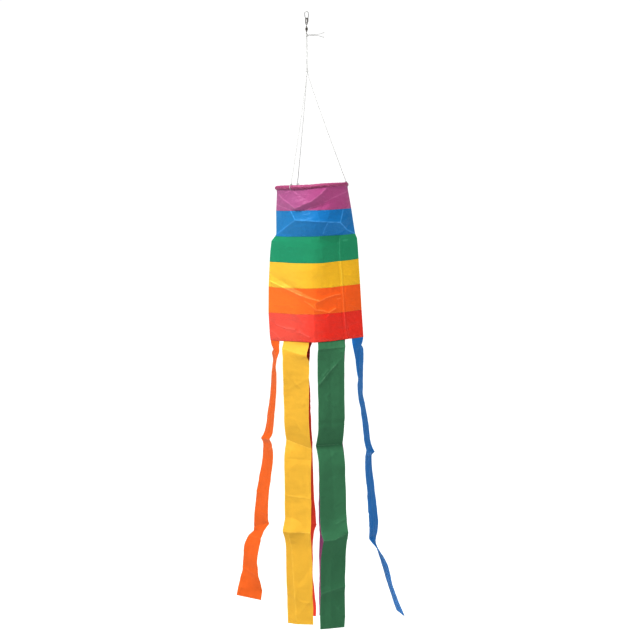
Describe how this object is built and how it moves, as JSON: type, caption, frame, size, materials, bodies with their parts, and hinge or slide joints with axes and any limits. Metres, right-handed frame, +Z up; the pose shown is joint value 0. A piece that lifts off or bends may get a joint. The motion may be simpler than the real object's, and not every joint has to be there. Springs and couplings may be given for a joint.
{
  "type": "hanging windsock",
  "caption": "Rainbow windsock of sewn cloth bands on a hoop, hung from a snap swivel by a cord bridle, with cloth tails at its open lower end.",
  "frame": {"origin": "inside of the snap's crown, where a hook or a line bears and holds the windsock up", "axes": "+Z up along the hanging line, +X to the right and +Y to the back of the view with the yellow and green tails in front"},
  "size_m": [0.3651, 0.1596, 1.3651],
  "materials": {
    "spring_wire": "bright drawn wire",
    "clasp_steel": "dark folded sheet",
    "eye_wire": "dark wire",
    "barrel_metal": "dull dark plating",
    "cord": "twisted white thread",
    "hoop_rod": "satin",
    "ferrule_metal": "satin",
    "seam_cloth": "dark overlocked edge",
    "purple_cloth": "smooth satin nylon",
    "blue_cloth": "smooth satin nylon",
    "green_cloth": "smooth satin nylon",
    "yellow_cloth": "smooth satin nylon",
    "orange_cloth": "smooth satin nylon",
    "red_cloth": "smooth satin nylon"
  },
  "bodies": {
    "snap": {"snap_frame": "spring_wire", "snap_clasp": "clasp_steel"},
    "gate": {"snap_gate": "spring_wire"},
    "upper_eye": {"swivel_upper_eye": "eye_wire"},
    "barrel": {"swivel_barrel": "barrel_metal"},
    "lower_eye": {"swivel_lower_eye": "eye_wire"},
    "sock": {"eye_knot": "cord", "cord_end_upper": "cord", "cord_end_lower": "cord", "stem_cord_left": "cord", "stem_cord_right": "cord", "junction_knot": "cord", "bridle_cord_right": "cord", "bridle_cord_back": "cord", "bridle_cord_front": "cord", "hoop_knot_right": "cord", "hoop_knot_back": "cord", "hoop_knot_front": "cord", "hoop_rod": "hoop_rod", "hoop_ferrule": "ferrule_metal", "purple_panel": "purple_cloth", "blue_panel": "blue_cloth", "green_panel": "green_cloth", "yellow_panel": "yellow_cloth", "orange_panel": "orange_cloth", "red_panel": "red_cloth", "bottom_hem": "red_cloth", "side_seam": "seam_cloth"},
    "tail_orange": {"orange_tail": "orange_cloth"},
    "tail_yellow": {"yellow_tail": "yellow_cloth"},
    "tail_green": {"green_tail": "green_cloth"},
    "tail_blue": {"blue_tail": "blue_cloth"},
    "tail_purple": {"purple_tail": "purple_cloth"},
    "tail_red": {"red_tail": "red_cloth"}
  },
  "joints": [
    {"name": "gate_opening", "type": "hinge", "parent": "snap", "child": "gate", "pos_m": [0.0032, 0, -0.0211], "axis": [0, 1, 0], "range_deg": [0, 25], "stiffness_Nm_per_rad": 0.02},
    {"name": "swivel_swing", "type": "hinge", "parent": "snap", "child": "upper_eye", "pos_m": [0, 0, -0.0284], "axis": [1, 0, 0], "range_deg": [-50, 50]},
    {"name": "barrel_spin", "type": "hinge", "parent": "upper_eye", "child": "barrel", "pos_m": [0, 0, -0.0385], "axis": [0, 0, 1], "continuous": true},
    {"name": "lower_eye_spin", "type": "hinge", "parent": "barrel", "child": "lower_eye", "pos_m": [0, 0, -0.0385], "axis": [0, 0, 1], "continuous": true},
    {"name": "bridle_swing", "type": "hinge", "parent": "lower_eye", "child": "sock", "pos_m": [0, 0, -0.0498], "axis": [0, 1, 0], "range_deg": [-40, 40]},
    {"name": "orange_tail_flap", "type": "hinge", "parent": "sock", "child": "tail_orange", "pos_m": [-0.0797, 0, -0.72889], "axis": [0, 1, 0], "range_deg": [0, 80]},
    {"name": "yellow_tail_flap", "type": "hinge", "parent": "sock", "child": "tail_yellow", "pos_m": [-0.025, -0.04848, -0.72708], "axis": [-0.9164, 0.3991, -0.0304], "range_deg": [-1, 80]},
    {"name": "green_tail_flap", "type": "hinge", "parent": "sock", "child": "tail_green", "pos_m": [0.05507, -0.05367, -0.72443], "axis": [-0.9602, -0.2773, -0.0318], "range_deg": [-1, 80]},
    {"name": "blue_tail_flap", "type": "hinge", "parent": "sock", "child": "tail_blue", "pos_m": [0.12403, -0.00032, -0.72215], "axis": [-0.222, -0.975, -0.0074], "range_deg": [0, 80]},
    {"name": "purple_tail_flap", "type": "hinge", "parent": "sock", "child": "tail_purple", "pos_m": [0.05728, 0.05301, -0.72435], "axis": [0.9547, -0.296, 0.0317], "range_deg": [-1, 80]},
    {"name": "red_tail_flap", "type": "hinge", "parent": "sock", "child": "tail_red", "pos_m": [-0.01565, 0.05208, -0.72677], "axis": [0.9468, 0.3201, 0.0314], "range_deg": [-1, 80]}
  ]
}
